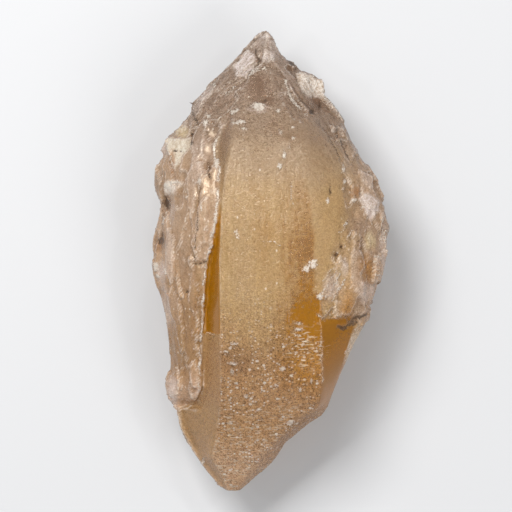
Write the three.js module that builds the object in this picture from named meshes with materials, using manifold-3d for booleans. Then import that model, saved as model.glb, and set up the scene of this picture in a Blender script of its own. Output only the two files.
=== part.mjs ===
// A natural citrine crystal: one solid piece of golden to smoky quartz, tapered to a blunt point at
// both ends. It lies on its flat back prism face with its broad front prism face up.
// Millimetres. +X runs across the crystal, +Y along it to the point, +Z up out of the front face.
// The origin is on the resting face, under the middle of the crystal's box.

import * as THREE from 'three';
import { mergeVertices } from 'three/addons/utils/BufferGeometryUtils.js';
import Module from 'manifold-3d';

// Driving dimensions
const HALF_LENGTH = 84;
const STATION_STEP = 1.75;
const PRISM_ANGLE = THREE.MathUtils.degToRad(60); // between neighbouring faces of a quartz prism

// Outline seen from the front, as [y, x], from the lower nub to the point
const LEFT_OUTLINE = [
  [-84, -16.6], [-82, -19.6], [-77.2, -23.7], [-71.8, -27.3], [-65.7, -31.5], [-60.9, -33.6],
  [-54.2, -34.9], [-50.5, -38.8], [-45.7, -39.7], [-40.9, -38.8], [-38.8, -37.6], [-31, -37.9],
  [-19.6, -39.4], [-11.7, -41.5], [-5.7, -43], [0, -43.6], [7.7, -43.7], [14.7, -41.5], [20.8, -40],
  [23.8, -41.8], [27.5, -43], [34.8, -42.5], [38.7, -39.7], [40.2, -41.3], [45.1, -38.8],
  [49.3, -33.4], [54.5, -29.7], [56.9, -30.4], [63.9, -23.7], [71.2, -16.4], [78.7, -9.1],
  [82.4, -6.1], [84, -3.4],
];
const RIGHT_OUTLINE = [
  [-84, -11.2], [-82.1, -9.1], [-79, -5.4], [-75.4, -1.2], [-71.2, 2.4], [-66.3, 5.4], [-60.2, 12.7],
  [-56.6, 18.2], [-53.6, 20.6], [-44.5, 24.2], [-36, 27.9], [-26.3, 32.8], [-22.1, 35.2],
  [-20.2, 37.5], [-17.8, 37.3], [-12.9, 39.4], [-4.5, 41.2], [3.3, 43.1], [11.7, 43.4], [17.2, 43.7],
  [23.8, 41.8], [29.9, 38.8], [37.8, 33.4], [44.5, 30.9], [49.6, 27.3], [57.8, 21.8], [60.2, 18.6],
  [61.4, 19.1], [65.4, 19.1], [68.4, 15.2], [69.9, 10.9], [72.7, 8.8], [73.9, 4.75], [76.6, 2.9],
  [81.8, 1.8], [84, -0.6],
];

// Edges on the front, as [y, x]: the two long edges of the front prism face run on up as the ridges of
// the point, and the lip is where the left overgrowth stops short of that face and leaves a groove.
const FRONT_LEFT_EDGE = [
  [-84, -15.4], [-71.2, -21.4], [-56, -18.8], [-46.8, -18.2], [0, -18.7], [23.8, -17.6], [50.5, -13.6],
  [60.7, -11.5], [66.9, -8.6], [70.2, -3.4], [84, -2.4],
];
const FRONT_RIGHT_EDGE = [
  [-84, -12.4], [-71.2, -4.5], [-52, 17], [-45, 18], [-13, 17.9], [0, 15.8], [30, 15], [42, 12.5],
  [66.9, 0.2], [70.2, -1.4], [84, -1.6],
];
const OVERGROWTH_LIP = [
  [-84, -16.2], [-71.8, -26.6], [-60.9, -32.9], [-54.2, -34.2], [-53, -30.9], [-50.5, -27.3],
  [-46.3, -25.5], [-19.6, -24.6], [-1.4, -23], [6.9, -20.9], [21.4, -18.9], [34.2, -18.4],
  [37.8, -20.3], [44.5, -19.4], [49.4, -16.2], [60.7, -12.6], [66.9, -9.6], [70.2, -4.3], [84, -2.9],
];

// Edges of the back prism face, on which the crystal lies, as [y, x]
const BACK_LEFT_EDGE = [[-84, -15], [-44, -20], [20, -23.5], [46, -19], [84, -2.6]];
const BACK_RIGHT_EDGE = [[-84, -13.4], [-44, 11], [10, 23.5], [46, 15], [84, -1.4]];

// Heights along the crystal, as [y, z]
const FRONT_HEIGHT = [
  [-84, 29], [-71, 38], [-46, 50], [-13, 56.6], [12, 58], [42, 56.2], [70, 40.6], [84, 31],
];
const LEFT_SIDE_HEIGHT = [[-84, 27], [-60, 27], [-46, 31], [0, 33], [50, 33], [84, 29.5]];
const RIGHT_SIDE_HEIGHT = [[-84, 27], [-64, 30], [-48, 37], [-22, 40], [10, 38], [46, 35], [84, 29.5]];
const BACK_HEIGHT = [[-84, 25], [-44, 0], [46, 0], [84, 28]];

// The left overgrowth: how far its lip stands above the floor of the groove, and how far its surface
// swells past a flat face, as a share of its height, both along the crystal, as [y, value]
const LIP_RISE = [
  [-84, 0.2], [-56, 0.4], [-53, 1.6], [-46, 3.4], [-20, 3.6], [0, 2.8], [14, 1.6], [22, 1], [50, 0.8],
  [60, 0.3], [84, 0.1],
];
const LEFT_SWELL = [[-84, 0.1], [-56, 0.16], [-52, 0.26], [44, 0.26], [60, 0.1], [84, 0.1]];
const LEFT_BENDS = [0.3, 0.68]; // where the surface bends, as shares of the way from the side to the lip
const GROOVE_FLOOR = 0.12; // where the groove's floor starts, as a share of the way from the lip
const LEFT_EDGE_DROP = 0.6; // the front face tips down this far to its left edge
const LEAST_FLOOR_RISE = 0.2; // the floor of the groove stays this far above the left side

// The right overgrowth: it swells past the flat right prism face down to a ledge, and below the ledge
// that face is bare, as [y, share of the height]
const RIGHT_SWELL = [[-84, 0.1], [-40, 0.04], [-21.5, 0.04], [-19.5, 0.2], [20, 0.2], [50, 0.12], [84, 0.1]];
const RIGHT_BENDS = [0.36, 0.74];

// Shell-shaped chips broken out of the front, as middle, radius of the scoop and depth of the bite
const CHIPS = [
  { x: -9.9, y: 72.4, radius: 18, bite: 0.7 }, // beside the point
  { x: 15.5, y: 60.5, radius: 12, bite: 1.3 }, // under the flake by the point
  { x: -33.5, y: 41, radius: 14, bite: 1.2 }, // upper left shoulder
  { x: -37.5, y: 22, radius: 9, bite: 1 },
  { x: 34, y: 19.5, radius: 14, bite: 1 }, // right shoulder
  { x: 24.5, y: -11, radius: 20, bite: 1.4 },
  { x: 36, y: -10.5, radius: 12, bite: 1.3 }, // above the ledge
  { x: -36, y: -45, radius: 10, bite: 1 }, // foot of the left overgrowth
  { x: 11, y: -57, radius: 16, bite: 1 },
];
const CHIP_SEGMENTS = 36;

// Value at y of a line given by its points, [y, value], in order of y
function valueAt(points, y) {
  const after = points.findIndex((point) => point[0] >= y);
  if (after <= 0) return after === 0 ? points[0][1] : points[points.length - 1][1];
  const [y0, v0] = points[after - 1];
  const [y1, v1] = points[after];
  return THREE.MathUtils.mapLinear(y, y0, y1, v0, v1);
}

// A point a share of the way down from one [x, z] to a lower one, lifted by a share of the drop
function bend(from, to, share, swell) {
  return [
    THREE.MathUtils.lerp(from[0], to[0], share),
    THREE.MathUtils.lerp(from[1], to[1], share - swell),
  ];
}

// Corners of the front of the crystal at y, as [x, z], from its left side to its right side
function frontCorners(y) {
  const frontZ = valueAt(FRONT_HEIGHT, y);
  const leftSide = [valueAt(LEFT_OUTLINE, y), valueAt(LEFT_SIDE_HEIGHT, y)];
  const rightSide = [valueAt(RIGHT_OUTLINE, y), valueAt(RIGHT_SIDE_HEIGHT, y)];
  const leftEdge = [valueAt(FRONT_LEFT_EDGE, y), frontZ - LEFT_EDGE_DROP];
  const rightEdge = [valueAt(FRONT_RIGHT_EDGE, y), frontZ];
  const lipX = valueAt(OVERGROWTH_LIP, y);
  const floorX = THREE.MathUtils.lerp(lipX, leftEdge[0], GROOVE_FLOOR);
  const floorZ = leftEdge[1] - (leftEdge[0] - floorX) * Math.tan(PRISM_ANGLE);
  const floor = [floorX, Math.max(floorZ, leftSide[1] + LEAST_FLOOR_RISE)];
  const lip = [lipX, floor[1] + valueAt(LIP_RISE, y)];
  const leftSwell = valueAt(LEFT_SWELL, y);
  const rightSwell = valueAt(RIGHT_SWELL, y);
  return [
    leftSide,
    ...LEFT_BENDS.map((share) => bend(lip, leftSide, 1 - share, leftSwell)),
    lip,
    floor,
    leftEdge,
    rightEdge,
    ...RIGHT_BENDS.map((share) => bend(rightEdge, rightSide, share, rightSwell)),
    rightSide,
  ];
}

// Corners of the whole section at y, from the left side over the front and back underneath
function sectionCorners(y) {
  const backZ = valueAt(BACK_HEIGHT, y);
  return [
    ...frontCorners(y),
    [valueAt(BACK_RIGHT_EDGE, y), backZ],
    [valueAt(BACK_LEFT_EDGE, y), backZ],
  ];
}

// The crystal's body: sections joined from end to end, and closed by a fan at each end
function bodyGeometry() {
  const steps = Math.round((2 * HALF_LENGTH) / STATION_STEP);
  const sections = [];
  for (let i = 0; i <= steps; i++) {
    const y = THREE.MathUtils.lerp(-HALF_LENGTH, HALF_LENGTH, i / steps);
    sections.push(sectionCorners(y).map(([x, z]) => new THREE.Vector3(x, y, z)));
  }
  const corners = sections[0].length;
  const positions = sections.flat();
  const triangles = [];
  for (let i = 0; i < steps; i++) {
    for (let j = 0; j < corners; j++) {
      const a = i * corners + j;
      const b = i * corners + ((j + 1) % corners);
      triangles.push(a, b, a + corners, b, b + corners, a + corners);
    }
  }
  for (const [first, atPoint] of [[0, false], [steps * corners, true]]) {
    const hub = positions.length;
    const middle = new THREE.Vector3();
    for (let j = 0; j < corners; j++) middle.add(positions[first + j]);
    positions.push(middle.divideScalar(corners));
    for (let j = 0; j < corners; j++) {
      const a = first + j;
      const b = first + ((j + 1) % corners);
      triangles.push(...(atPoint ? [hub, a, b] : [hub, b, a]));
    }
  }
  const geometry = new THREE.BufferGeometry().setFromPoints(positions);
  geometry.setIndex(triangles);
  return geometry;
}

// Height of the front at x, y
function frontHeight(x, y) {
  return valueAt(frontCorners(y), x);
}

// A ball that bites a chip out of the front, set along the surface's own direction
function chipGeometry({ x, y, radius, bite }) {
  const reach = 2;
  const across = (frontHeight(x + reach, y) - frontHeight(x - reach, y)) / (2 * reach);
  const along = (frontHeight(x, y + reach) - frontHeight(x, y - reach)) / (2 * reach);
  const outward = new THREE.Vector3(-across, -along, 1).normalize();
  const middle = new THREE.Vector3(x, y, frontHeight(x, y)).addScaledVector(outward, radius - bite);
  return new THREE.SphereGeometry(radius, CHIP_SEGMENTS, CHIP_SEGMENTS / 2).translate(...middle);
}

const wasm = await Module();
wasm.setup();

// Closed geometry as a solid that can be cut
function solidFrom(geometry) {
  const bare = geometry.clone();
  bare.deleteAttribute('normal');
  bare.deleteAttribute('uv');
  const merged = mergeVertices(bare);
  return new wasm.Manifold(new wasm.Mesh({
    numProp: 3,
    vertProperties: new Float32Array(merged.attributes.position.array),
    triVerts: new Uint32Array(merged.index.array),
  }));
}

// A solid as geometry that can be drawn
function geometryFrom(solid) {
  const { vertProperties, triVerts } = solid.getMesh();
  const geometry = new THREE.BufferGeometry();
  geometry.setAttribute('position', new THREE.BufferAttribute(vertProperties, 3));
  geometry.setIndex(new THREE.BufferAttribute(triVerts, 1));
  geometry.computeVertexNormals();
  return geometry;
}

const chipped = CHIPS.reduce(
  (solid, chip) => solid.subtract(solidFrom(chipGeometry(chip))),
  solidFrom(bodyGeometry()),
);

const citrine = new THREE.MeshStandardMaterial({ color: 0xb98d55, roughness: 0.45, metalness: 0 });
const crystal = new THREE.Mesh(geometryFrom(chipped), citrine);
crystal.name = 'citrine_crystal';

const part = new THREE.Group();
part.add(crystal);

export default part;
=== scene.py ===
import math

import bpy
import numpy as np
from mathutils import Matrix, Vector, noise


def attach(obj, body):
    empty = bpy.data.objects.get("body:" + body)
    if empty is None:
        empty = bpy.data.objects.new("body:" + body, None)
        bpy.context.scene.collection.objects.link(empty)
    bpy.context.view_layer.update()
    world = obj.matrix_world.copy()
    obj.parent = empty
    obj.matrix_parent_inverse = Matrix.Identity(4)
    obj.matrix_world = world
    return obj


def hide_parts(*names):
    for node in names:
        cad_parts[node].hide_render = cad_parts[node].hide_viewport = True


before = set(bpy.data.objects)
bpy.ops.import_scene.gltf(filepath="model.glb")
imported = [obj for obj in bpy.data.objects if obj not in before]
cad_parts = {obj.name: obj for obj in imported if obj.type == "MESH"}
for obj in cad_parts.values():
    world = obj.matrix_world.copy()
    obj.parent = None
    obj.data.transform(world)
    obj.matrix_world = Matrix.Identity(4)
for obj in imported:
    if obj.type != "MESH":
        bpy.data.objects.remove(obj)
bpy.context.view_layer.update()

# The crystal is one piece of natural quartz, clear amber inside under a frosted, etched skin. It grew as
# a six-sided prism along Y with a point at +Y, and younger quartz grew over its left and right sides.
# Later it was partly dissolved and chipped. It lies on its flat back prism face. Lengths are in mm here.
MM = 0.001
VOXEL = 0.67

# Lines on the front, as (y, x): edges of the front prism face, and lip of the left overgrowth
FRONT_LEFT_EDGE = (
    (-84, -15.4), (-71.2, -21.4), (-56, -18.8), (-46.8, -18.2), (0, -18.7), (23.8, -17.6), (50.5, -13.6),
    (60.7, -11.5), (66.9, -8.6), (70.2, -3.4), (84, -2.4),
)
FRONT_RIGHT_EDGE = (
    (-84, -12.4), (-71.2, -4.5), (-52, 17), (-45, 18), (-13, 17.9), (0, 15.8), (30, 15), (42, 12.5),
    (66.9, 0.2), (70.2, -1.4), (84, -1.6),
)
OVERGROWTH_LIP = (
    (-84, -16.2), (-71.8, -26.6), (-60.9, -32.9), (-54.2, -34.2), (-53, -30.9), (-50.5, -27.3),
    (-46.3, -25.5), (-19.6, -24.6), (-1.4, -23), (6.9, -20.9), (21.4, -18.9), (34.2, -18.4),
    (37.8, -20.3), (44.5, -19.4), (49.4, -16.2), (60.7, -12.6), (66.9, -9.6), (70.2, -4.3), (84, -2.9),
)
# Right of the front face the skin is smooth as far as this line
SMOOTH_RIGHT = ((-22, 15), (-6, 17), (4, 20), (22, 25), (40, 24), (58, 8))


def ramp(low, high, value):
    """0 below low and 1 above high, eased between them. low may be the larger one."""
    t = np.clip((value - low) / (high - low), 0, 1)
    return t * t * (3 - 2 * t)


def along(line, y):
    ys, xs = zip(*line)
    return np.interp(y, ys, xs)


def remeshed(source, voxel):
    """A copy of a node's mesh, evenly divided into small faces."""
    blank = bpy.data.objects.new("blank", source.data.copy())
    bpy.context.scene.collection.objects.link(blank)
    modifier = blank.modifiers.new("even", "REMESH")
    modifier.mode = "VOXEL"
    modifier.voxel_size = voxel
    depsgraph = bpy.context.evaluated_depsgraph_get()
    mesh = bpy.data.meshes.new_from_object(blank.evaluated_get(depsgraph))
    bpy.data.objects.remove(blank)
    return mesh


crystal_mesh = remeshed(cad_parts["citrine_crystal"], VOXEL * MM)
crystal_mesh.materials.clear()


def read_points(mesh, name):
    values = np.empty(len(mesh.vertices) * 3, dtype=np.float32)
    mesh.vertices.foreach_get(name, values)
    return values.reshape(-1, 3).astype(np.float64)


points = read_points(crystal_mesh, "co") / MM
edge_ends = np.empty(len(crystal_mesh.edges) * 2, dtype=np.int32)
crystal_mesh.edges.foreach_get("vertices", edge_ends)
edge_ends = edge_ends.reshape(-1, 2).T
neighbour_count = np.bincount(edge_ends.ravel(), minlength=len(points))


def mean_of_neighbours(values):
    a, b = edge_ends
    sums = [np.bincount(a, v[b], len(points)) + np.bincount(b, v[a], len(points)) for v in values.T]
    return np.stack(sums, axis=1) / neighbour_count[:, None]


# Dissolving has rounded the edges of the front face off, but for its lower left and lower right ones
x, y, z = points.T.copy()
sharp_left = ramp(3, 1, np.abs(x - along(FRONT_LEFT_EDGE, y))) * ramp(50, 30, y) * ramp(-75, -60, y)
sharp_right = ramp(3, 1, np.abs(x - along(FRONT_RIGHT_EDGE, y))) * ramp(-4, -12, y) * ramp(-56, -50, y)
sharp_lip = ramp(4, 2, np.abs(x - along(OVERGROWTH_LIP, y))) * ramp(-66, -60, y) * ramp(56, 50, y)
rounded = ramp(34, 42, z) * (1 - np.maximum.reduce((sharp_left, sharp_right, sharp_lip)))
# The foot of the left overgrowth sinks into the lower end, as (y, depth)
FOOT_SINK = ((-57, 0), (-53, 1.1), (-46, 2.5), (-30, 1.2), (-14, 0))
on_growth = ramp(0.9, 0.2, x - along(OVERGROWTH_LIP, y)) * ramp(14, 24, z)
points[:, 2] -= along(FOOT_SINK, y) * on_growth
for turn in range(60):
    points += (mean_of_neighbours(points) - points) * 0.7 * rounded[:, None]
crystal_mesh.vertices.foreach_set("co", (points * MM).astype(np.float32).ravel())
crystal_mesh.update()
normals = read_points(crystal_mesh, "normal")
x, y, z = points.T.copy()


def turned(angle, middle_x=0.0, middle_y=0.0):
    """Places along and across a direction, given in degrees from +X."""
    c, s = math.cos(math.radians(angle)), math.sin(math.radians(angle))
    return (x - middle_x) * c + (y - middle_y) * s, (y - middle_y) * c - (x - middle_x) * s


def bumps(length, width, depth, seed, angle=0.0, octaves=1):
    """Smooth noise about 0 at every point, with lumps of the sizes given, their length at the angle."""
    u, v = turned(angle)
    scaled = np.stack((u / length, v / width, z / depth), axis=1) + seed * 17.3
    return np.array([noise.fractal(p, 1.0, 2.0, octaves) for p in scaled.tolist()])


def ridges(length, width, depth, seed, angle=0.0):
    """Sharp ridges, 1 on their crests."""
    return 1 - 2 * np.abs(bumps(length, width, depth, seed, angle))


def domes(length, width, depth, seed):
    """Rounded scales, about 0.5 on their tops and below 0 in the lines between them."""
    scaled = np.stack((x / length, y / width, z / depth), axis=1) + seed * 11.9
    return 0.5 - np.array([noise.voronoi(p)[0][0] for p in scaled.tolist()])


def plates(length, width, depth, seed, angle=0.0, lean=0.6):
    """Flat plates with sharp edges, each at its own height about 0 and leaning its own way."""
    u, v = turned(angle)
    sway = 0.35 * bumps(6, 6, 6, seed + 30)
    scaled = np.stack((u / length + sway, v / width - sway, z / depth), axis=1) + seed * 11.9
    heights = []
    for p in scaled.tolist():
        middle = noise.voronoi(p)[1][0]
        tilt = noise.cell_vector(middle * 7.7)
        slope = sum((t - 0.5) * (a - b) for t, a, b in zip(tilt, p, middle))
        heights.append(noise.cell(middle * 5.1) - 0.5 + lean * slope)
    return np.array(heights)


# Zones of the surface, each 0 to 1
left_edge = along(FRONT_LEFT_EDGE, y)
right_edge = along(FRONT_RIGHT_EDGE, y)
lip = along(OVERGROWTH_LIP, y)
seen = ramp(-0.15, 0.05, normals[:, 2])
front = normals[:, 2] > 0
above_foot = ramp(4, 12, z)
point = ramp(46, 56, y)
lower = ramp(-26, -44, y)
front_face = ramp(-0.4, 0.4, x - left_edge) * ramp(-0.4, 0.4, right_edge - x) * seen
groove = ramp(-0.3, 0.3, x - lip) * ramp(-0.3, 0.3, left_edge - x) * seen * (1 - point)
left_side = ramp(-0.4, 0.4, np.where(front, lip, -10) - x) * above_foot
left_growth = left_side * ramp(-57, -52, y) * (1 - point)
right_side = ramp(-0.4, 0.4, x - np.where(front, right_edge, 10)) * above_foot
right_growth = right_side * ramp(-22.5, -21, y) * (1 - point) * ramp(0, 4, x - along(SMOOTH_RIGHT, y))
right_face = right_side * ramp(-20, -22, y) * ramp(-56, -50, y)
left_point = ramp(-0.5, 0.5, left_edge - x) * point * above_foot
right_point = ramp(-0.5, 0.5, x - right_edge) * point * above_foot
front_point = front_face * point
flank = 1 - seen

# Chips, seams and stains on the front, with some painted highlights and painted shadows among them, as ovals
# (x, y, half length, half width, turn) or as lines of (x, y) with a width. Their edges are soft over twice
# the rim.
RIM = 0.6
drift = bumps(18, 14, 14, 16, octaves=3)
frayed = bumps(2.2, 2.2, 2.2, 21, octaves=3)
crumbled = bumps(0.9, 0.9, 0.9, 22, octaves=2)
wander_x = x + 0.7 * frayed
wander_y = y - 0.7 * frayed


def edged(depth):
    """0.5 on the rim of a mark, 1 well inside it and 0 well outside it, given the depth inside it in mm."""
    return np.clip(0.5 + depth / (2 * RIM), 0, 1) * seen


def oval(middle_x, middle_y, half_long, half_wide, turn=0.0):
    u, v = turned(turn, middle_x, middle_y)
    reach = np.hypot(u / half_long, v / half_wide) + 0.5 * frayed + 0.5 * crumbled
    return edged((1 - reach) * min(half_long, half_wide))


def line(places, width):
    nearest = np.full(len(x), 1e9)
    for (x0, y0), (x1, y1) in zip(places, places[1:]):
        run, rise = x1 - x0, y1 - y0
        t = ((wander_x - x0) * run + (wander_y - y0) * rise) / (run * run + rise * rise)
        t = np.clip(t, 0, 1)
        nearest = np.minimum(nearest, np.hypot(wander_x - x0 - t * run, wander_y - y0 - t * rise))
    return edged(width / 2 - nearest)


def inside(places):
    """1 inside a ragged outline, 0 outside it."""
    within = np.zeros(len(x), dtype=bool)
    for (x0, y0), (x1, y1) in zip(places, places[1:] + places[:1]):
        if y0 != y1:
            crossing = x0 + (wander_y - y0) * (x1 - x0) / (y1 - y0)
            within ^= ((y0 > wander_y) != (y1 > wander_y)) & (wander_x < crossing)
    return mean_of_neighbours(within[:, None].astype(float))[:, 0] * seen


def glow(middle_x, middle_y, half_long, half_wide, turn=0.0):
    """A soft field, 1 in its middle."""
    u, v = turned(turn, middle_x, middle_y)
    return ramp(1.4, 0.3, np.hypot(u / half_long, v / half_wide) + 0.35 * drift + 0.2 * frayed) * seen


def any_of(shape, places):
    return np.max([shape(*place) for place in places], axis=0)


# White chips; the ovals at (-25.6, 28.4) and (-24.9, 19), on the left rim of the tongue plate, are painted
# highlights along a ridge
chips_and_highlights = any_of(oval, (
    (-5, 55.5, 2.4, 1.4), (-13, 54, 1.8, 0.7, 20), (-11.3, 49.8, 2.2, 0.9), (-9.9, 47.5, 1, 0.5),
    (-19.6, 35, 1.0, 1.7), (-12.4, 9.5, 0.7, 1.6, 15), (-13.2, -29.6, 1.2, 0.6), (15, -1, 1.7, 1.6),
    (12.4, -3, 1.6, 0.9), (17.5, -12.6, 1.2, 1.1), (26, 33, 0.7, 1.2), (26.5, 28.7, 0.7, 0.9),
    (25.9, 26, 0.5, 0.5), (28.5, 24.7, 0.7, 0.6), (30.4, 22, 0.8, 0.9), (33.2, 19.2, 0.8, 0.7),
    (6.6, -58.5, 1.8, 0.8, 15), (-25, -73.5, 1.6, 0.6, 70), (20.2, 21.5, 0.5, 1),
    (9.8, -22.3, 1.1, 0.45), (9.8, -24.6, 1.1, 0.6), (9, -26.6, 1.3, 0.5), (-39, 15, 0.5, 1.6),
    (4.6, 38, 0.45, 1.5), (6.4, 41, 0.4, 1), (3, 34, 0.8, 1), (3.4, 46, 0.6, 0.6), (7.7, 48, 0.6, 0.6),
    (7.9, 44, 0.7, 0.5), (2.5, -37, 1, 0.5, -30), (4, -38.6, 1, 0.7), (-13.5, -36.8, 1.4, 0.7),
    (-14.2, -40, 0.6, 1.2), (-12.5, -44, 0.7, 0.5), (-9, -48.6, 0.8, 0.6), (-4.5, -53.4, 0.9, 0.6),
    (1.5, -44.7, 0.8, 0.5), (-22.9, 52.7, 0.8, 0.7), (-23.8, 50, 1.1, 1.3),
    (-25.6, 28.4, 0.6, 1.9, -20), (-24.9, 19, 0.4, 1.3), (-30.5, 23, 0.6, 0.6), (-37.5, 27.2, 1.7, 1.6),
    (-35.2, 28.6, 1.6, 0.6), (-41.9, -1.8, 0.8, 1.7), (-41, -5.6, 0.9, 0.7), (-38.4, -3.7, 0.7, 1.2),
    (17.5, -19.8, 1.5, 0.4, -45), (2.6, 54, 0.6, 0.5), (0.4, 73, 0.6, 0.4), (-2.4, 69.9, 0.4, 0.7),
    (10.5, -46.4, 0.6, 0.9), (14.4, -43.2, 0.5, 1.0), (-16.5, -32.6, 0.9, 0.5),
))
white_lines = any_of(line, (
    (((5.1, 65.5), (6, 62.5), (7.4, 59), (9.4, 56.6), (11.2, 55.4)), 1.0),
    (((19, 60), (23, 55.4), (27, 50)), 0.5), (((-8.4, 66.9), (-5.4, 69.2), (-2.7, 69.6)), 0.5),
    (((-16.8, 60.7), (-13.5, 64)), 0.5), (((-21.9, 61.8), (-20.5, 64.2)), 0.6),
    (((23.4, -3.4), (17.6, -12.4)), 0.5), (((25, -4.6), (19.4, -13.6)), 0.4),
    (((21.4, -2.6), (16.6, -10.2)), 0.4), (((26.4, -6.4), (21.6, -14.4)), 0.4),
    (((41.6, 11), (41.8, 2)), 0.5), (((40, 16), (40.6, 6)), 0.4),
    (((-38.2, 41.8), (-36.8, 37.4), (-36, 33.8)), 0.4), (((-23, -26.2), (-20.6, -26.2)), 0.5),
    (((30.6, -24), (27, -33.6)), 0.6), (((33.4, -23), (29.6, -33)), 0.5),
    (((28.6, -32), (26, -40.6)), 0.7), (((36.8, 1.6), (39.2, 1.2)), 0.4),
    (((37, -0.6), (39.2, -0.8)), 0.5), (((36.6, -2.6), (39, -3)), 0.4), (((37, -4.8), (39, -5)), 0.5),
    (((36.4, -6.6), (38.6, -7.2)), 0.4), (((13.5, 66.8), (17, 68.2)), 0.5),
    (((27.2, 8), (29.6, 11)), 0.5), (((26, 12.4), (27.6, 15.4)), 0.5), (((24.6, 10), (26.2, 12)), 0.4),
    (((-2.8, 7.2), (0.8, 7), (3, 5.8)), 0.35), (((18, -24.6), (18.2, -44)), 0.3),
    (((7, 28), (7.4, 20)), 0.3),
))
lip_breaks = ramp(-0.35, 0.15, bumps(3, 3, 3, 23) + 0.3 * ramp(0, 20, y))
lip_line = edged(0.45 - np.abs(wander_x - lip + 0.5)) * ramp(-50, -44, y) * ramp(50, 44, y) * lip_breaks
white_marks = np.maximum.reduce((chips_and_highlights, white_lines, lip_line))

dark_pits = any_of(oval, (
    (-38, 20.6, 1.1, 2.2), (-40.4, 7.2, 1.1, 1.2), (-30, 56.8, 0.8, 0.7), (-29.4, 46.4, 0.9, 0.9),
    (7, 72.2, 1.6, 0.5, -35), (36.9, -20, 1, 1), (26.4, -24.3, 1.3, 0.7), (29.6, -22.2, 1, 0.7),
    (21.2, 25.6, 0.4, 2), (-35, 40, 0.6, 0.4), (-33.2, 39.8, 0.5, 0.35), (-2.2, 57.8, 0.9, 0.8),
    (25.2, 5.1, 0.5, 0.5), (23.4, 2.2, 0.7, 0.6), (-28.9, 43.2, 0.7, 1.2), (15, 54.4, 0.7, 0.9),
    (18, 57, 0.4, 1.4), (-21.3, 8.6, 0.5, 0.6), (-31.4, -11.4, 0.7, 0.5),
))
LEDGE = ((24.2, -23.6), (26.2, -24.6), (28.2, -23.3), (30.5, -21.6), (32.1, -21), (34.7, -20), (36.9, -19.7))
dark_lines = any_of(line, (
    (LEDGE, 1.0),
    # The slit at (-22.6, 33) is a real cleft, darkened with painted shadow
    (((-22.9, 36), (-22.6, 33), (-21.9, 29.7)), 0.7),
    (((-6.2, 77.5), (-4.8, 73.5), (-5.9, 70.6), (-9.1, 66.2)), 0.7),
    (((-29.3, 55.2), (-26.7, 49.4)), 0.6), (((7.6, 63.6), (11, 58), (14, 55.6)), 0.5),
    (((23.4, 49.7), (28.2, 36.9)), 0.4), (((-25.6, 29.6), (-26.3, 17), (-27, 8), (-28.5, 1.2)), 0.4),
    # The first line here, along the lower edge of the tongue plate, is a real dent with painted shadow along
    # it
    (((-29.6, -0.4), (-26.4, -1.4), (-23.8, -0.6), (-22, 2.2)), 0.5), (((-39.5, 18), (-39.8, 9)), 0.4),
    (((-6.6, 80.8), (-3.3, 82)), 0.5), (((21, 45), (26.4, 34)), 0.3),
))
dark_marks = np.maximum(dark_pits, dark_lines)

# Windows where the skin is smooth and the clear amber inside shows. The one down the right of the front
# face fades in from its left and is patchy along Y, as (y, strength)
RIGHT_WINDOW_EDGE = ((-56, 19), (-46, 23.4), (-38, 25.8), (-30, 28), (-22, 30.4))
AMBER_STRENGTH = (
    (-52, 0), (-46, 0.3), (-42, 0.75), (-36.5, 0.85), (-34, 0.7), (-29, 0.7), (-27, 1.1), (-20, 1.15),
    (-15, 0.8), (-8, 0.8), (-3, 0.85), (0, 1.1), (7, 1.1), (10, 0.75), (16, 0.55), (22, 0.6), (27, 0.3),
    (34, 0),
)
AMBER_RIGHT = ((-13, 30), (-11, 15.4), (8, 15.2), (34, 12))
streaks = bumps(14, 1.6, 4, 24, 90, 2)
amber = along(AMBER_STRENGTH, y + 2 * frayed + 3 * drift) * front_face
amber = amber * edged(along(AMBER_RIGHT, y) - wander_x)
amber = amber * ramp(-1, 12, x - ramp(-20, 0, y) * 2 + 4 * streaks + 2 * frayed)
amber = np.clip(amber + (0.2 * crumbled + 0.15 * frayed) * ramp(0, 0.4, amber), 0, 1)
clear = groove * ramp(-26.6, -26, y) * ramp(30, 6, y)
clear = np.maximum(clear, right_face * ramp(-0.3, 0.6, along(RIGHT_WINDOW_EDGE, y) - x))
deep_window = ramp(-30, -27, y) * ramp(-11, -16, y)
clear = np.maximum(clear, (0.6 + 0.2 * deep_window) * ramp(0.4, 0.95, amber) * ramp(10, -14, y))
clear = clear * (1 - np.maximum(white_marks, dark_marks))

# Plates of the overgrowths, as outlines (x, y): each stands a little above the skin round it
TONGUE = (
    (-25.4, 30), (-19.2, 36), (-19, 22), (-21, 6), (-22.8, 0.6), (-26.6, -0.6), (-28.4, 2), (-26.6, 16),
)
CREAM_PLATE = (
    (-39.7, 44.9), (-29.3, 44.6), (-29.1, 41.8), (-30.9, 40), (-32.2, 37.9), (-34.2, 34.3), (-35.8, 33.4),
    (-36.3, 37), (-38.2, 40.6),
)
CRUMPLED_PLATE = (
    (31.4, 22.9), (35.4, 23.9), (38.8, 20.9), (38.4, 17.3), (36.4, 15), (34.1, 17.3), (33.5, 20),
)
POINT_PLATE = ((-13.6, 71.3), (-8.8, 77.2), (-6.2, 75), (-6.2, 71.3), (-8.8, 67), (-12.8, 67))
FLAKE = ((9.6, 69), (14, 68), (19.4, 64.6), (19, 59.6), (13.6, 59.4), (10.4, 63))
CHIP = ((-39, 28.4), (-36, 29), (-31.6, 28.4), (-34.4, 26), (-35.8, 24.2), (-38.6, 24.4))
LOW_PLATE = ((31.5, -7), (35, -8), (38, -8.5), (37.5, -14), (34, -16), (32, -13))
tongue, cream_plate, crumpled_plate, point_plate, flake, low_plate, chip = [
    inside(places) for places in (TONGUE, CREAM_PLATE, CRUMPLED_PLATE, POINT_PLATE, FLAKE, LOW_PLATE, CHIP)
]

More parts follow.
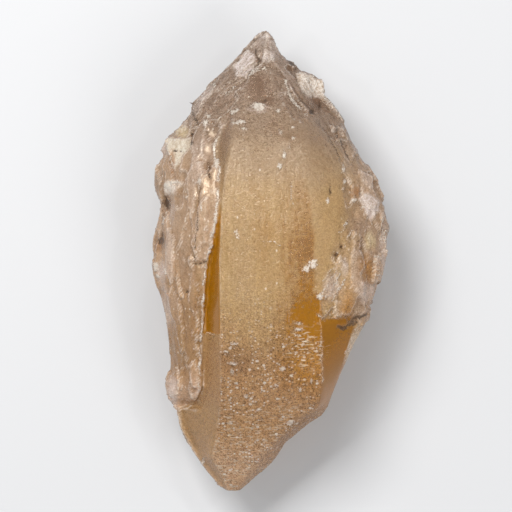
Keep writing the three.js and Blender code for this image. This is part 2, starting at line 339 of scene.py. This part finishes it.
# Relief, in mm along the surface's own direction: plates and steps of the growths, scales, grain and chips
grain = bumps(1.5, 1.5, 1.5, 1, octaves=2)
left_plates = plates(16, 4, 5, 6, 90)
right_plates = plates(9, 5, 5, 8, 100)
left_steps = plates(22, 4.5, 6, 9, 46)
right_steps = plates(18, 4, 6, 11, 118)
scaly = ramp(-8, -40, y + 6 * drift + 3 * frayed) * ramp(-0.6, 0.6, x - left_edge)
scaly = scaly * (1 - clear) * (1 - right_face) * seen
relief = 0.12 * bumps(16, 9, 9, 5, angle=90) * (1 - right_face)
left_folds = 0.5 * bumps(18, 4.5, 6, 6, 90) + 0.15 * bumps(7, 2, 4, 7, 90, 2)
relief += left_growth * (0.8 * left_plates + left_folds)
relief += right_growth * (0.9 * right_plates + 0.9 * bumps(12, 6, 8, 4, 100, 2))
relief += left_point * (0.8 * left_steps + 0.2 * ridges(20, 1.9, 4, 10, 46))
relief += right_point * (0.7 * right_steps + 0.2 * ridges(18, 2.1, 4, 12, 118))
relief += front_point * 0.3 * bumps(2.4, 2.4, 2.4, 13, octaves=2)
relief += scaly * (0.25 * domes(1.7, 1.2, 1.7, 3) + 0.25 * bumps(6, 3, 4, 14))
relief += flank * above_foot * 0.6 * plates(26, 7, 6, 15, 90)
relief += (left_growth + right_growth + point * above_foot) * 0.1 * grain
relief += 0.7 * tongue + 0.4 * (cream_plate + low_plate) + 0.5 * (crumpled_plate + point_plate + flake)
relief += 0.4 * chips_and_highlights * crumbled - 0.4 * dark_marks + 0.25 * white_marks
relief = np.where(z < 0.6, np.minimum(relief, 0), relief)
points += relief[:, None] * normals
points[:, 2] = np.maximum(points[:, 2], 0)
crystal_mesh.vertices.foreach_set("co", (points * MM).astype(np.float32).ravel())
crystal_mesh.update()


def convexity(mesh):
    """How far each point stands above (or below) the middle of its neighbours, in mm, evened out."""
    outward = read_points(mesh, "normal")
    height = np.sum((points - mean_of_neighbours(points)) * outward, axis=1)
    return mean_of_neighbours(height[:, None])[:, 0]


crest = convexity(crystal_mesh)


def colour(red, green, blue):
    """A screen colour, 0 to 255, as linear light."""
    s = np.array((red, green, blue)) / 255
    return np.where(s <= 0.04045, s / 12.92, ((s + 0.055) / 1.055) ** 2.4)


def over(under, top, share):
    return under + (np.asarray(top) - under) * share[:, None]


GOLD = colour(189, 159, 110)
SAND = colour(184, 159, 124)
TAN = colour(194, 154, 108)
ROSE_GREY = colour(197, 170, 140)
SMOKE = colour(152, 132, 115)
AMBER = colour(172, 117, 17)
OLIVE = colour(165, 128, 75)
BLUSH = colour(227, 194, 161)
LILAC = colour(199, 171, 140)
PALE = colour(244, 235, 229)
WHITE = colour(255, 246, 232)
CREAM = colour(255, 250, 230)
STRAW = colour(227, 212, 170)
RUST = colour(168, 112, 53)
BROWN = colour(115, 84, 61)
DARK = colour(50, 37, 30)

# The colour of each zone: soft fields, since they are shades of the clear body seen through its skin
bands = bumps(60, 5, 12, 17, 90, 2)
foot = left_growth * ramp(-40, -50, y)
body = np.tile(GOLD, (len(points), 1))
body = over(body, SAND, ramp(5, 40, y + 8 * drift) * 0.9)
body = over(body, TAN, ramp(-16, -46, y + 5 * drift + 0.25 * (x - 4)))
body = over(body, AMBER, right_face * 0.5)
body = over(body, SAND, ramp(-46, -54, y) * ramp(1, -1, x - left_edge) * 0.6)
body = over(body, OLIVE, np.clip(0.2 + bands, 0, 1) * 0.25 * (1 - lower))
body = over(body, LILAC, left_growth * ramp(-50, 0, y) * 0.9)
body = over(body, TAN, left_growth * ramp(5, -25, y) * 0.8)
# The foot takes a pinkish tone, lightened as painted light against the shade it gets from facing away from
# the key light
body = over(body, BLUSH, foot * 0.9)
body = over(body, PALE, foot * ramp(-33, -36, x + 0.5 * frayed) * 0.5)
# The lower end takes the same pinkish tone, lightened as painted light against the shade it lies in
body = over(body, BLUSH, ramp(-60, -76, y) * 0.5)
body = over(body, ROSE_GREY, right_growth * ramp(24, 34, x + 3 * drift) * 0.9)
body = over(body, SMOKE, ramp(22, 62, y + 6 * drift) * 0.95)
# Painted glow: the steep sides, except at the lower end, are made paler, standing in for light shining
# through the thin edges
painted_edge_glow = ramp(0.5, 0.15, normals[:, 2]) * seen * ramp(-52, -36, y)
body = over(body, PALE, painted_edge_glow * 0.3)
body = over(body, OLIVE, left_growth * ramp(5, -25, y) * ramp(-46, -36, y) * 0.35)
body = over(body, OLIVE, groove * ramp(-24, -28, y) * 0.4)
body = over(body, AMBER, flank * 0.5)
body = over(body, AMBER, amber * 0.8)
body = over(body, BROWN, amber * (0.4 + 0.15 * deep_window))
shade = left_growth * left_plates + right_growth * right_plates
shade += left_point * left_steps + right_point * right_steps
body = over(body, PALE, np.clip(0.6 * shade, 0, 0.25))
body = over(body, SMOKE, np.clip(-0.6 * shade, 0, 0.25))
for tint, share, cover in (
    (ROSE_GREY, 0.7, tongue), (CREAM, 0.75, cream_plate), (PALE, 0.8, crumpled_plate),
    (PALE, 0.75, point_plate), (WHITE, 0.9, flake), (PALE, 0.4, low_plate), (WHITE, 0.9, chip),
):
    body = over(body, tint, cover * share)

# Soft patches, as (colour, strength, middle x, middle y, half length, half width, turn)
for tint, share, *patch in (
    (AMBER, 0.35, 14, -30, 12, 18), (AMBER, 0.15, 0, 11, 3, 5), (OLIVE, 0.3, -3, 10, 4, 12),
    (SAND, 0.3, -10, 0, 4, 20), (AMBER, 0.65, 34, -3.5, 3.4, 5.5), (AMBER, 0.75, 27.5, -18, 2.6, 5.4),
    (GOLD, 0.6, 22, 14, 14, 4.4, 95), (GOLD, 0.5, 21, -18, 3, 4), (PALE, 0.2, -2.6, 78.4, 5, 5),
    # The pale oval at (-25, 60), on the left facet of the point, is a painted reflection of the softbox
    (PALE, 0.6, -1.5, 74.2, 2.4, 2), (PALE, 0.7, -2, 82, 4, 1), (PALE, 0.25, -25, 60, 8, 2.6, 46),
    (SMOKE, 0.5, -20, 56, 8, 3, 46), (BROWN, 0.6, -4.8, 62.5, 3.6, 5), (BROWN, 0.5, -2, 57.6, 3, 2),
    (PALE, 0.3, -4.8, 55, 3.4, 1.8), (BROWN, 0.3, 1, 47, 4, 3), (BROWN, 0.3, 6, 44, 3.4, 2),
    (SMOKE, 0.6, -30.2, 51.4, 2.8, 2.4), (STRAW, 0.7, -32.6, 47.2, 3.2, 2),
    (BROWN, 0.5, -28.4, 45, 3.4, 2, 90), (PALE, 0.12, -25.6, 40.4, 4, 5),
    (BROWN, 0.4, -16.6, 42, 8, 1.8, 82), (BROWN, 0.2, -17.6, 27, 7, 1.4, 88),
    (BROWN, 0.6, 16, 56.8, 3, 3.6), (SMOKE, 0.5, 26, 46, 8, 3.4, -58),
    (BROWN, 0.5, 7.4, 71.4, 2.2, 1.6), (PALE, 0.5, -39.8, 41.2, 1.6, 3), (SMOKE, 0.5, -41, 28, 2, 4),
    (BROWN, 0.5, -38, 20.4, 1.8, 3.4), (BROWN, 0.5, -40, 7, 3, 3.4), (BROWN, 0.3, -39.2, 13, 1, 8),
    # The brown patch at (-22.5, 33) is painted shadow round the slit
    (BROWN, 0.4, -22.5, 33, 1.4, 4), (OLIVE, 0.4, -27, 12, 12, 0.9, 88), (PALE, 0.5, -40, -3.6, 2, 3.4),
    (PALE, 0.4, -38.8, -18, 2, 8), (OLIVE, 0.4, -26.4, -8, 1.6, 9), (OLIVE, 0.4, -26.2, -26, 1.5, 8),
    (OLIVE, 0.3, -33, -30, 1.4, 8), (RUST, 0.6, 30.7, 25, 2, 1.8), (RUST, 0.6, -36.2, 36, 0.8, 4),
    # The smoky patch at (32.5, 12.5) and the brown one at (31.8, 5), on the next line, are painted shade on
    # facets of the right overgrowth
    (RUST, 0.4, -41, 5, 1.4, 2), (SMOKE, 0.5, 32.5, 12.5, 2.2, 3), (STRAW, 0.7, 36.2, 7.5, 2, 3.2),
    (BROWN, 0.35, 31.8, 5, 1.8, 3.8), (BROWN, 0.4, 25, 5, 1.6, 1.4), (BROWN, 0.4, 23.4, 2.2, 1.6, 1.4),
    (PALE, 0.35, 26.5, -1.6, 1.2, 3.8), (PALE, 0.45, 21.5, -9.5, 3, 5), (AMBER, 0.35, 28, -13, 4, 6),
    (PALE, 0.4, 41, 6, 1.5, 10), (SMOKE, 0.4, 38, 34, 3, 6), (BROWN, 0.3, -12, -36, 6, 5),
    (PALE, 0.5, -36.5, -47, 5, 2, 90), (CREAM, 0.6, 29.6, -29, 9, 1.6, 66),
    (BROWN, 0.5, 18.9, -38, 8, 0.8, 90), (BROWN, 0.35, 36.5, -19.6, 2, 1.4),
):
    body = over(body, tint, glow(*patch) * share)
# Painted highlight along the crests of the relief and painted shade in its hollows
body = over(body, WHITE, ramp(0.02, 0.1, crest) * (1 - clear) * (1 - scaly) * 0.55)
body = over(body, BROWN, ramp(-0.015, -0.1, crest) * (1 - clear) * (1 - scaly) * 0.15)


def store(mesh, name, values):
    kind = "FLOAT_COLOR" if values.ndim == 2 else "FLOAT"
    layer = mesh.attributes.new(name, kind, "POINT")
    if values.ndim == 2:
        values = np.concatenate((values, np.ones((len(values), 1))), axis=1)
        layer.data.foreach_set("color", values.astype(np.float32).ravel())
    else:
        layer.data.foreach_set("value", values.astype(np.float32))


store(crystal_mesh, "body_colour", np.clip(body, 0, 1))
store(crystal_mesh, "clear", clear)
store(crystal_mesh, "white_marks", white_marks)
store(crystal_mesh, "dark_marks", dark_marks)
store(crystal_mesh, "scaly", scaly)
store(crystal_mesh, "lined_across", front_face * (1 - lower))
store(crystal_mesh, "left_slope", left_point)
store(crystal_mesh, "right_slope", np.maximum(right_point, right_side * ramp(24, 40, y) * ramp(15, 22, x)))
store(crystal_mesh, "lined_along", np.maximum(left_growth, 0.7 * right_growth))
frost_lines = np.maximum(glow(12, -31.5, 6.5, 7), 0.6 * ramp(-46, -58, y) * front_face)
store(crystal_mesh, "frost_lines", frost_lines)
etched = 0.6 * glow(-4, 50, 14, 11, 80)
store(crystal_mesh, "mottled", np.maximum.reduce((0.5 * point, etched, 0.3 * right_growth)) * above_foot)
crystal_mesh.polygons.foreach_set("use_smooth", np.ones(len(crystal_mesh.polygons), dtype=bool))

quartz = bpy.data.materials.new("citrine_quartz")
quartz.use_nodes = True
tree = quartz.node_tree
tree.nodes.clear()


def feed(socket, value):
    if isinstance(value, bpy.types.NodeSocket):
        tree.links.new(value, socket)
    else:
        socket.default_value = value


def maths(operation, *values):
    made = tree.nodes.new("ShaderNodeMath")
    made.operation = operation
    for socket, value in zip(made.inputs, values):
        feed(socket, value)
    return made.outputs["Value"]


def mapped(value, low, high, to_low, to_high):
    made = tree.nodes.new("ShaderNodeMapRange")
    settings = (value, low, high, to_low, to_high)
    for name, setting in zip(("Value", "From Min", "From Max", "To Min", "To Max"), settings):
        feed(made.inputs[name], setting)
    return made.outputs["Result"]


def mixed(way, share, first, second):
    made = tree.nodes.new("ShaderNodeMix")
    made.data_type = "RGBA"
    made.blend_type = way
    feed(made.inputs["Factor"], share)
    feed(made.inputs[6], first)
    feed(made.inputs[7], second)
    return made.outputs[2]


def sized(across, along_y, up, turn=0.0):
    """The place on the crystal, counted in marks of the sizes given in mm, turned from +Y."""
    spun = tree.nodes.new("ShaderNodeVectorRotate")
    spun.rotation_type = "Z_AXIS"
    spun.inputs["Angle"].default_value = math.radians(-turn)
    feed(spun.inputs["Vector"], place)
    made = tree.nodes.new("ShaderNodeVectorMath")
    made.operation = "DIVIDE"
    feed(made.inputs[0], spun.outputs["Vector"])
    made.inputs[1].default_value = (across * MM, along_y * MM, up * MM)
    return made.outputs["Vector"]


def speckle(counted, detail, contrast=0.18):
    """Noise stretched to run from 0 to 1."""
    made = tree.nodes.new("ShaderNodeTexNoise")
    feed(made.inputs["Vector"], counted)
    made.inputs["Scale"].default_value = 1
    made.inputs["Detail"].default_value = detail
    made.inputs["Roughness"].default_value = 0.6
    return mapped(made.outputs["Fac"], 0.5 - contrast, 0.5 + contrast, 0.0, 1.0)


def dots(counted, rarity, inner, outer):
    """Scattered dots, 1 inside and 0 outside, in one cell out of so many."""
    made = tree.nodes.new("ShaderNodeTexVoronoi")
    feed(made.inputs["Vector"], counted)
    made.inputs["Scale"].default_value = 1
    chance = tree.nodes.new("ShaderNodeSeparateColor")
    feed(chance.inputs["Color"], made.outputs["Color"])
    picked = maths("GREATER_THAN", chance.outputs["Red"], 1 - 1 / rarity)
    return maths("MULTIPLY", mapped(made.outputs["Distance"], inner, outer, 1.0, 0.0), picked)


def flakes(counted):
    """Flat flakes that fill a surface: the way each leans, about 0, and a value of its own, 0 to 1."""
    made = tree.nodes.new("ShaderNodeTexVoronoi")
    feed(made.inputs["Vector"], counted)
    made.inputs["Scale"].default_value = 1
    lean = tree.nodes.new("ShaderNodeVectorMath")
    lean.operation = "SUBTRACT"
    feed(lean.inputs[0], made.outputs["Color"])
    lean.inputs[1].default_value = (0.5, 0.5, 0.5)
    parts = tree.nodes.new("ShaderNodeSeparateColor")
    feed(parts.inputs["Color"], made.outputs["Color"])
    return lean.outputs["Vector"], parts.outputs["Blue"]


def scaled(vector, amount):
    made = tree.nodes.new("ShaderNodeVectorMath")
    made.operation = "SCALE"
    feed(made.inputs[0], vector)
    feed(made.inputs["Scale"], amount)
    return made.outputs["Vector"]


def added(first, second):
    made = tree.nodes.new("ShaderNodeVectorMath")
    made.operation = "ADD"
    feed(made.inputs[0], first)
    feed(made.inputs[1], second)
    return made.outputs["Vector"]


def mask(name):
    made = tree.nodes.new("ShaderNodeAttribute")
    made.attribute_name = name
    return made.outputs["Fac"]


def total(parts):
    """Patterns as swings about 0, each with its strength and mask, added up."""
    result = 0.0
    for pattern, strength, where in parts:
        swing = maths("MULTIPLY", maths("SUBTRACT", pattern, 0.5), strength)
        result = maths("ADD", result, maths("MULTIPLY", swing, where))
    return result


place = tree.nodes.new("ShaderNodeTexCoord").outputs["Object"]
scaly_mask, across_mask, along_mask = mask("scaly"), mask("lined_across"), mask("lined_along")
mottled_mask, left_mask, right_mask = mask("mottled"), mask("left_slope"), mask("right_slope")
left_marks = speckle(sized(0.9, 6, 3, -44), 2)
right_marks = speckle(sized(1.0, 6, 3, 28), 2)
grain_marks = speckle(sized(1.1, 1.1, 1.1), 3)
pit_marks = speckle(sized(0.55, 0.55, 0.55), 1)
cross_marks = speckle(sized(2.4, 0.6, 2.4), 2)
band_marks = speckle(sized(0.9, 16, 5), 2)
long_marks = speckle(sized(0.7, 2.4, 2), 3)
streak_marks = speckle(sized(1.3, 12, 4), 2)
fine_marks = speckle(sized(0.42, 0.5, 0.42), 1)
blotches = speckle(sized(3, 6, 3), 2)
curl_marks = speckle(sized(1.3, 0.9, 1.3), 2)
curls = mapped(maths("ABSOLUTE", maths("SUBTRACT", curl_marks, 0.5)), 0.05, 0.3, 1.0, 0.0)
curls = maths("MULTIPLY", curls, mapped(pit_marks, 0.3, 0.6, 0.0, 1.0))
coarse_lean, coarse_value = flakes(sized(0.9, 0.7, 0.9))
fine_lean, fine_value = flakes(sized(0.6, 0.6, 0.6))
stroke_marks = speckle(sized(2.8, 0.55, 2.8), 1)
strokes = maths("MULTIPLY", mapped(stroke_marks, 0.72, 0.95, 0.0, 0.8), mask("frost_lines"))
clusters = mapped(speckle(sized(5, 3.5, 5), 1), 0.3, 0.6, 0.2, 1.0)

# Rims of chips, pits and windows are broken up by the grain
fray = maths("MULTIPLY", maths("SUBTRACT", pit_marks, 0.5), 0.4)
white_mask = mapped(maths("ADD", mask("white_marks"), fray), 0.42, 0.7, 0.0, 1.0)
white_mask = maths("MULTIPLY", white_mask, mapped(grain_marks, 0.2, 0.6, 0.55, 1.0))
dark_mask = mapped(maths("ADD", mask("dark_marks"), fray), 0.42, 0.7, 0.0, 1.0)
clear_mask = mapped(maths("ADD", mask("clear"), maths("MULTIPLY", fray, 0.8)), 0.25, 0.75, 0.0, 1.0)

# Painted glints: white dots in the scaly zone, on the overgrowths and the point, and sparse on the front
# face stand in for highlights of the light on tiny facets
small_glints = dots(sized(1.1, 0.9, 1.1), 2.8, 0.25, 0.42)
large_glints = dots(sized(2.4, 1.9, 2.4), 4, 0.18, 0.3)
glints = maths("MAXIMUM", maths("MULTIPLY", small_glints, clusters), large_glints)
glints = maths("MULTIPLY", glints, scaly_mask)
dark_specks = maths("MULTIPLY", dots(sized(1.3, 1.0, 1.3), 4, 0.2, 0.45), scaly_mask)
dark_specks = maths("MULTIPLY", dark_specks, clusters)
growth_mask = maths("MAXIMUM", along_mask, mottled_mask)
growth_glints = maths("MULTIPLY", dots(sized(1.4, 1.9, 1.4), 5, 0.1, 0.3), growth_mask)
face_glints = maths("MULTIPLY", dots(sized(2.0, 2.8, 2.0), 14, 0.08, 0.22), across_mask)
painted_glints = maths("MAXIMUM", glints, maths("MULTIPLY", maths("MAXIMUM", growth_glints, face_glints), 0.7))
holes = maths("MULTIPLY", dots(sized(2.3, 2.6, 2.3), 5, 0.08, 0.2), across_mask)

swing = total((
    (grain_marks, 0.16, 1.0), (pit_marks, 0.14, 1.0), (fine_marks, 0.2, 1.0), (fine_value, 0.1, 1.0),
    (cross_marks, 0.08, across_mask), (band_marks, 0.13, across_mask), (long_marks, 0.1, along_mask),
    (streak_marks, 0.1, along_mask), (blotches, 0.22, along_mask), (left_marks, 0.4, left_mask),
    (right_marks, 0.35, right_mask), (grain_marks, 0.4, mottled_mask), (pit_marks, 0.3, mottled_mask),
    (coarse_value, 0.25, scaly_mask), (grain_marks, 0.2, scaly_mask),
    (maths("ADD", curls, 0.4), 1.0, scaly_mask), (fine_value, 0.2, scaly_mask),
))
swing = maths("MULTIPLY", swing, mapped(clear_mask, 0.0, 1.0, 1.0, 0.3))
painted = tree.nodes.new("ShaderNodeAttribute")
painted.attribute_name = "body_colour"
lightness = maths("ADD", 0.5, maths("MULTIPLY", swing, 1.25))
shading = mixed("MIX", lightness, (0.55, 0.45, 0.36, 1), (1.4, 1.42, 1.48, 1))
windowed = mixed("MIX", clear_mask, painted.outputs["Color"], (*AMBER, 1))
coloured = mixed("MULTIPLY", 1.0, windowed, shading)
brown_specks = maths("MULTIPLY", maths("MAXIMUM", holes, dark_specks), 0.25)
coloured = mixed("MIX", brown_specks, coloured, (*BROWN, 1))
coloured = mixed("MIX", strokes, coloured, (*CREAM, 1))
# The painted glints go on in white
coloured = mixed("MIX", painted_glints, coloured, (*WHITE, 1))
coloured = mixed("MIX", maths("MULTIPLY", dark_mask, 0.8), coloured, (*DARK, 1))
coloured = mixed("MIX", white_mask, coloured, (*WHITE, 1))

plain_mask = mapped(along_mask, 0.0, 1.0, 1.0, 0.35)
height = total((
    (grain_marks, 0.1, plain_mask), (pit_marks, 0.1, plain_mask), (cross_marks, 0.06, across_mask),
    (band_marks, 0.1, across_mask), (curls, 0.5, scaly_mask), (long_marks, 0.06, along_mask),
    (streak_marks, 0.08, along_mask), (left_marks, 0.2, left_mask), (right_marks, 0.2, right_mask),
    (grain_marks, 0.35, mottled_mask), (grain_marks, 0.5, scaly_mask), (white_mask, 0.4, 1.0),
    (dark_mask, -0.4, 1.0),
))
height = maths("MULTIPLY", height, mapped(clear_mask, 0.0, 1.0, 1.0, 0.08))
frosted = mapped(clear_mask, 0.0, 1.0, 1.0, 0.1)
coarse_tilt = scaled(coarse_lean, maths("MULTIPLY", scaly_mask, 0.5))
frosted = maths("MULTIPLY", frosted, mapped(along_mask, 0.0, 1.0, 1.0, 0.4))
fine_tilt = scaled(fine_lean, maths("MULTIPLY", frosted, 0.22))
outward = tree.nodes.new("ShaderNodeNewGeometry").outputs["Normal"]
facing = tree.nodes.new("ShaderNodeVectorMath")
facing.operation = "NORMALIZE"
feed(facing.inputs[0], added(outward, added(coarse_tilt, fine_tilt)))
bump = tree.nodes.new("ShaderNodeBump")
bump.inputs["Strength"].default_value = 1.0
bump.inputs["Distance"].default_value = 0.6 * MM
feed(bump.inputs["Height"], height)
feed(bump.inputs["Normal"], facing.outputs["Vector"])

shader = tree.nodes.new("ShaderNodeBsdfPrincipled")
shader.inputs["IOR"].default_value = 1.55
shader.inputs["Transmission Weight"].default_value = 0.55
shader.inputs["Specular Tint"].default_value = (0.8, 0.68, 0.52, 1)
feed(shader.inputs["Base Color"], coloured)
skin_roughness = mapped(maths("MAXIMUM", scaly_mask, along_mask), 0.0, 1.0, 0.16, 0.08)
window_share = mapped(clear_mask, 0.0, 1.0, 1.0, 0.2)
feed(shader.inputs["Roughness"], maths("MULTIPLY", skin_roughness, window_share))
feed(shader.inputs["Normal"], bump.outputs["Normal"])
absorption = tree.nodes.new("ShaderNodeVolumeAbsorption")
absorption.inputs["Color"].default_value = (0.93, 0.72, 0.35, 1)
absorption.inputs["Density"].default_value = 14
output = tree.nodes.new("ShaderNodeOutputMaterial")
feed(output.inputs["Surface"], shader.outputs["BSDF"])
feed(output.inputs["Volume"], absorption.outputs["Volume"])

crystal_mesh.materials.append(quartz)
crystal = bpy.data.objects.new("citrine_quartz_crystal", crystal_mesh)
bpy.context.scene.collection.objects.link(crystal)
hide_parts("citrine_crystal")
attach(crystal, "root")

# The floor is a plain pale board that the crystal lies on. It is a flat sheet, 3 m on a side, set a
# hair's breadth under the crystal so that the two surfaces don't touch.
FLOOR_HALF = 1500
FLOOR_GAP = 0.15
floor_mesh = bpy.data.meshes.new("floor")
corner_signs = ((-1, -1), (1, -1), (1, 1), (-1, 1))
corners = [(sx * FLOOR_HALF * MM, sy * FLOOR_HALF * MM, -FLOOR_GAP * MM) for sx, sy in corner_signs]
floor_mesh.from_pydata(corners, [], [(0, 1, 2, 3)])
floor = bpy.data.objects.new("floor", floor_mesh)
bpy.context.scene.collection.objects.link(floor)
board = bpy.data.materials.new("pale_board")
board.use_nodes = True
board.node_tree.nodes["Principled BSDF"].inputs["Base Color"].default_value = (0.46, 0.46, 0.464, 1)
board.node_tree.nodes["Principled BSDF"].inputs["Roughness"].default_value = 0.7
floor_mesh.materials.append(board)

# Plain soft studio light: a wide softbox high beside the point, a fill across from it, and an even sky.
# Three small lamps add a little sparkle to the flakes. All of them hang about 1 m above the floor.
world = bpy.data.worlds.new("studio")
bpy.context.scene.world = world
world.use_nodes = True
world.node_tree.nodes["Background"].inputs["Color"].default_value = (0.95, 0.97, 1, 1)
world.node_tree.nodes["Background"].inputs["Strength"].default_value = 0.525


def softbox(name, place, size, power):
    lamp = bpy.data.lights.new(name, "AREA")
    lamp.shape = "SQUARE"
    lamp.size = size * MM
    lamp.energy = power
    box = bpy.data.objects.new(name, lamp)
    box.location = Vector(place) * MM
    box.rotation_euler = (-box.location).to_track_quat("-Z", "Y").to_euler()
    bpy.context.scene.collection.objects.link(box)


softbox("key_softbox", (-300, 420, 850), 400, 11)
softbox("fill_softbox", (500, -500, 800), 500, 4.5)
softbox("left_spot", (-420, 60, 800), 60, 0.5)
softbox("top_spot", (60, 480, 760), 60, 0.5)
softbox("right_spot", (360, 200, 850), 60, 0.5)

# The camera hangs straight above the crystal and looks down with a long lens, with the point up in the
# picture. The frame's width is measured at the height of the crystal's outline.
LENS = 250
SENSOR = 36
FRAME_WIDTH = 187.2
FRAME_MIDDLE = (-5.5, 1.8)
OUTLINE_HEIGHT = 28
lens = bpy.data.cameras.new("camera")
lens.lens = LENS
lens.sensor_width = SENSOR
camera = bpy.data.objects.new("camera", lens)
camera.location = Vector((*FRAME_MIDDLE, OUTLINE_HEIGHT + FRAME_WIDTH * LENS / SENSOR)) * MM
bpy.context.scene.collection.objects.link(camera)
bpy.context.scene.camera = camera

scene = bpy.context.scene
scene.view_settings.view_transform = "Standard"
scene.cycles.denoising_prefilter = "NONE"
scene.cycles.max_bounces = 14
scene.cycles.transmission_bounces = 12
